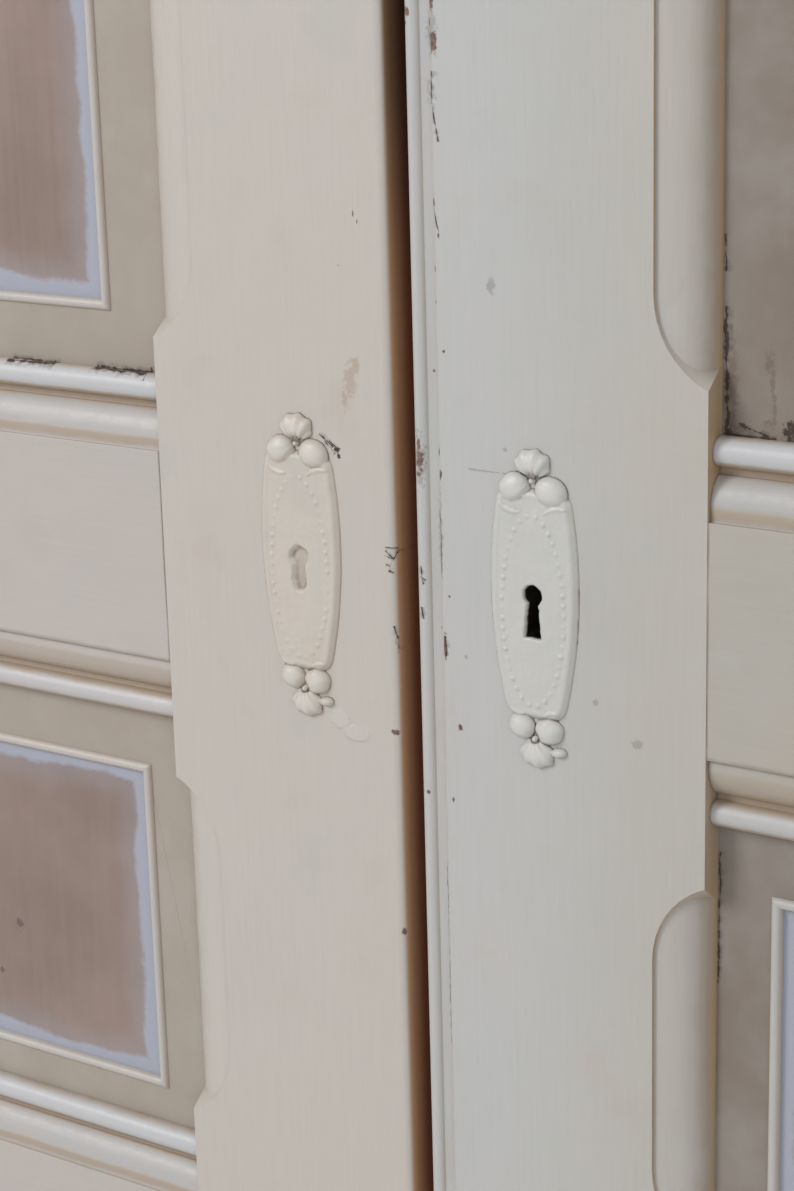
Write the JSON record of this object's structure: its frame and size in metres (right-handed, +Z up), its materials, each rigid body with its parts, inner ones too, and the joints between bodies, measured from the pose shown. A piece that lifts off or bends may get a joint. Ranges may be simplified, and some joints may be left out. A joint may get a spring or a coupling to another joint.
{
  "type": "french doors with frame",
  "caption": "Pair of old painted french doors with moulded rails, framed panes and flowered keyhole plates, hung in a rebated wooden frame.",
  "frame": {"origin": "on the floor below the middle of the slit between the leaves, in the plane of the leaves' front", "axes": "+X along the wall, to the right of someone facing the front; +Y from the front to the back; +Z up"},
  "size_m": [1.302, 0.132, 2.174],
  "materials": {
    "left_leaf_paint": "warm cream oil paint over wood, satin, aged and chipped",
    "right_leaf_paint": "cool cream oil paint over wood, satin, aged and chipped",
    "frame_paint": "cream oil paint over wood, satin, aged",
    "left_plate_paint": "thick cream paint over stamped metal",
    "right_plate_paint": "thick cream paint over stamped metal",
    "hinge_paint": "cream paint over steel, worn at the knuckles",
    "screw_steel": "dull steel",
    "lock_steel": "dark lacquered steel",
    "lock_brass": "tarnished brass",
    "spring_steel": "blued spring steel",
    "bolt_iron": "cream paint over iron, worn",
    "pane_paint": "glass painted over in a pinkish brown with a pale bluish border"
  },
  "bodies": {
    "frame": {"bottom_bolt_keep": "bolt_iron", "frame_head": "frame_paint", "frame_jamb_left": "frame_paint", "frame_jamb_right": "frame_paint", "frame_screws": "screw_steel", "frame_threshold": "frame_paint", "left_hinge_frame_leaves": "hinge_paint", "left_hinge_pins": "hinge_paint", "right_hinge_frame_leaves": "hinge_paint", "right_hinge_pins": "hinge_paint", "top_bolt_keep": "bolt_iron"},
    "left_leaf": {"bottom_bolt_plate": "bolt_iron", "left_back_beads": "left_leaf_paint", "left_bottom_pane": "pane_paint", "left_bottom_panel": "left_leaf_paint", "left_bottom_rail": "left_leaf_paint", "left_escutcheon": "left_plate_paint", "left_escutcheon_pins": "screw_steel", "left_front_beads": "left_leaf_paint", "left_hinge_door_leaves": "hinge_paint", "left_hinge_stile": "left_leaf_paint", "left_leaf_screws": "screw_steel", "left_lock_rail": "left_leaf_paint", "left_lower_rail": "left_leaf_paint", "left_meeting_stile": "left_leaf_paint", "left_middle_pane": "pane_paint", "left_middle_panel": "left_leaf_paint", "left_top_rail": "left_leaf_paint", "left_upper_pane": "pane_paint", "left_upper_panel": "left_leaf_paint", "strike_plate": "lock_brass", "top_bolt_plate": "bolt_iron"},
    "right_leaf": {"back_keyhole_plate": "lock_brass", "lock_case": "lock_steel", "lock_cover": "lock_steel", "lock_forend": "lock_brass", "right_back_beads": "right_leaf_paint", "right_bottom_pane": "pane_paint", "right_bottom_panel": "right_leaf_paint", "right_bottom_rail": "right_leaf_paint", "right_escutcheon": "right_plate_paint", "right_escutcheon_pins": "screw_steel", "right_front_beads": "right_leaf_paint", "right_hinge_door_leaves": "hinge_paint", "right_hinge_stile": "right_leaf_paint", "right_leaf_screws": "screw_steel", "right_lock_rail": "right_leaf_paint", "right_lower_rail": "right_leaf_paint", "right_meeting_stile": "right_leaf_paint", "right_middle_pane": "pane_paint", "right_middle_panel": "right_leaf_paint", "right_top_rail": "right_leaf_paint", "right_upper_pane": "pane_paint", "right_upper_panel": "right_leaf_paint"},
    "dead_bolt": {"bolt_spring": "spring_steel", "dead_bolt": "lock_brass"},
    "top_bolt": {"top_bolt": "bolt_iron"},
    "bottom_bolt": {"bottom_bolt": "bolt_iron"}
  },
  "joints": [
    {"name": "left_leaf_swing", "type": "hinge", "parent": "frame", "child": "left_leaf", "pos_m": [-0.6045, -0.006, 1.076], "axis": [0, 0, -1], "range_deg": [0, 165]},
    {"name": "right_leaf_swing", "type": "hinge", "parent": "frame", "child": "right_leaf", "pos_m": [0.6045, -0.006, 1.076], "axis": [0, 0, 1], "range_deg": [0, 165]},
    {"name": "dead_bolt_slide", "type": "slide", "parent": "right_leaf", "child": "dead_bolt", "axis": [-1, 0, 0], "range_m": [0, 0.02]},
    {"name": "top_bolt_slide", "type": "slide", "parent": "left_leaf", "child": "top_bolt", "axis": [0, 0, 1], "range_m": [0, 0.022]},
    {"name": "bottom_bolt_slide", "type": "slide", "parent": "left_leaf", "child": "bottom_bolt", "axis": [0, 0, -1], "range_m": [0, 0.022]}
  ]
}
